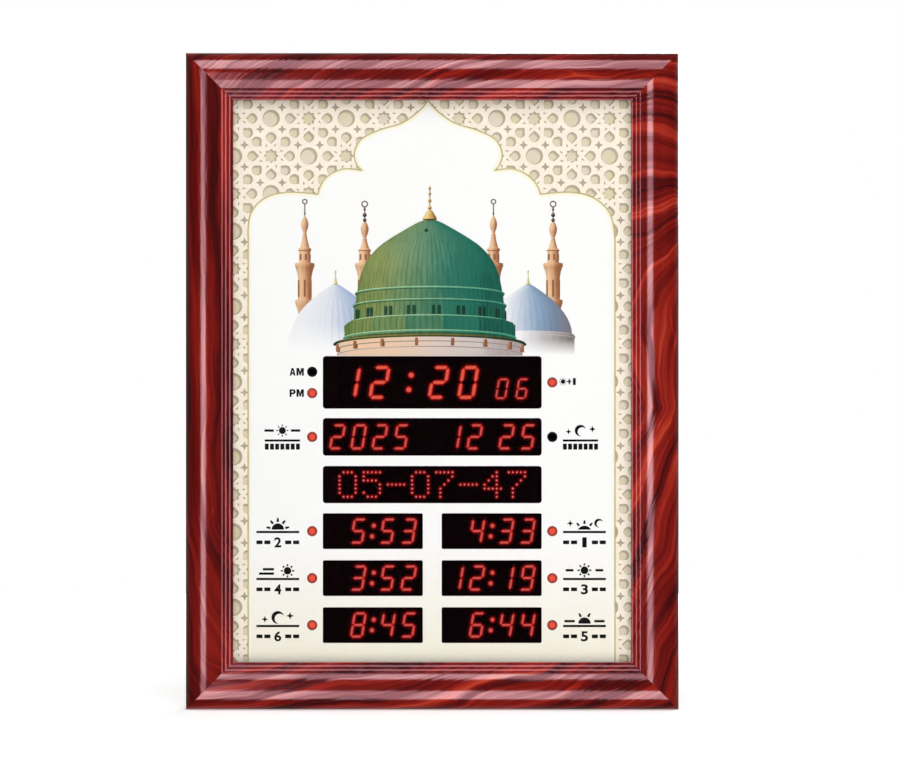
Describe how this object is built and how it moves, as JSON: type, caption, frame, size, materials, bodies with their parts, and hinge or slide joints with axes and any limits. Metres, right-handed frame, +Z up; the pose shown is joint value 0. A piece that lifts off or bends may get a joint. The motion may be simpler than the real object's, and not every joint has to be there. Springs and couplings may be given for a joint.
{
  "type": "azan clock",
  "caption": "Upright wall-hung prayer-time clock: a glossy moulded wood picture frame holds a glazed printed face with dark windows for red LED times, date and dot matrix.",
  "frame": {"origin": "centre of the wall plane, the plane that the rear faces of the four wall bumpers share", "axes": "+Z up along the frame's height; +X to the right as seen from the front; the face looks along -Y, so +Y points into the wall"},
  "size_m": [0.38, 0.036, 0.506],
  "materials": {
    "frame_wood": "high-gloss lacquered figured mahogany, dark maroon to red-brown",
    "nail_steel": "plain",
    "clear_glass": "clear, polished",
    "gasket_rubber": "matte",
    "printed_panel": "white acrylic sheet, printed on the front",
    "smoke_acrylic": "dark smoked, see-through",
    "packing_board": "matte",
    "board_laminate": "satin green solder resist",
    "display_case": "matte black",
    "lit_red": "glowing red diffuser",
    "unlit_red": "dark red diffuser, off",
    "sensor_plastic": "gloss black",
    "cover_plastic": "fine texture, black",
    "zinc_steel": "bright zinc plated",
    "bumper_rubber": "matte",
    "magnet_ferrite": "matte dark grey",
    "cone_paper": "matte black",
    "black_plastic": "satin black",
    "key_plastic": "satin light grey",
    "cell_steel": "bright",
    "can_aluminium": "satin sleeve",
    "socket_plastic": "satin ivory",
    "lead_plastic": "satin dark red"
  },
  "bodies": {
    "housing": {"frame_rail_top": "frame_wood", "frame_rail_bottom": "frame_wood", "frame_rail_left": "frame_wood", "frame_rail_right": "frame_wood", "corner_nails": "nail_steel", "front_glass": "clear_glass", "glazing_gasket": "gasket_rubber", "face_panel": "printed_panel", "smoke_filter": "smoke_acrylic", "side_spacers": "packing_board", "end_spacers": "packing_board", "display_board": "board_laminate", "hour_display": "display_case", "minute_display": "display_case", "colon_display": "display_case", "seconds_display": "display_case", "year_display": "display_case", "month_display": "display_case", "day_display": "display_case", "matrix_modules": "display_case", "dawn_display": "display_case", "sunrise_display": "display_case", "noon_display": "display_case", "afternoon_display": "display_case", "sunset_display": "display_case", "night_display": "display_case", "lit_segments": "lit_red", "lit_matrix_dots": "lit_red", "lit_lamps": "lit_red", "unlit_segments": "unlit_red", "unlit_matrix_dots": "unlit_red", "unlit_lamps": "unlit_red", "ir_receiver": "sensor_plastic", "back_cover": "cover_plastic", "cover_screws": "zinc_steel", "board_screws": "zinc_steel", "hanger_strap_left": "zinc_steel", "hanger_strap_right": "zinc_steel", "hanger_screws": "zinc_steel", "wall_bumpers": "bumper_rubber", "speaker_basket": "zinc_steel", "speaker_magnet": "magnet_ferrite", "speaker_cone": "cone_paper", "speaker_screws": "zinc_steel", "power_inlet": "black_plastic", "key_switches": "black_plastic", "coin_cell": "cell_steel", "cell_holder": "black_plastic", "driver_chips": "black_plastic", "capacitors": "can_aluminium", "lead_sockets": "socket_plastic", "inner_leads": "lead_plastic"},
    "key_set": {"key_set": "key_plastic"},
    "key_down": {"key_down": "key_plastic"},
    "key_up": {"key_up": "key_plastic"},
    "key_volume": {"key_volume": "key_plastic"},
    "key_reset": {"key_reset": "key_plastic"},
    "battery_lid": {"battery_lid": "cover_plastic"},
    "hanger_ring_left": {"hanger_ring_left": "zinc_steel"},
    "hanger_ring_right": {"hanger_ring_right": "zinc_steel"}
  },
  "joints": [
    {"name": "key_set_press", "type": "slide", "parent": "housing", "child": "key_set", "axis": [0, -1, 0], "range_m": [0, 0.0005], "stiffness_N_per_m": 350},
    {"name": "key_down_press", "type": "slide", "parent": "housing", "child": "key_down", "axis": [0, -1, 0], "range_m": [0, 0.0005], "stiffness_N_per_m": 350},
    {"name": "key_up_press", "type": "slide", "parent": "housing", "child": "key_up", "axis": [0, -1, 0], "range_m": [0, 0.0005], "stiffness_N_per_m": 350},
    {"name": "key_volume_press", "type": "slide", "parent": "housing", "child": "key_volume", "axis": [0, -1, 0], "range_m": [0, 0.0005], "stiffness_N_per_m": 350},
    {"name": "key_reset_press", "type": "slide", "parent": "housing", "child": "key_reset", "axis": [0, -1, 0], "range_m": [0, 0.0005], "stiffness_N_per_m": 350},
    {"name": "battery_lid_turn", "type": "hinge", "parent": "housing", "child": "battery_lid", "pos_m": [-0.052, -0.004, -0.096], "axis": [0, 1, 0], "range_deg": [0, 90]},
    {"name": "hanger_ring_left_swing", "type": "hinge", "parent": "housing", "child": "hanger_ring_left", "pos_m": [-0.179, -0.00215, 0.168], "axis": [1, 0, 0], "range_deg": [0, 180]},
    {"name": "hanger_ring_right_swing", "type": "hinge", "parent": "housing", "child": "hanger_ring_right", "pos_m": [0.179, -0.00215, 0.168], "axis": [1, 0, 0], "range_deg": [0, 180]}
  ]
}
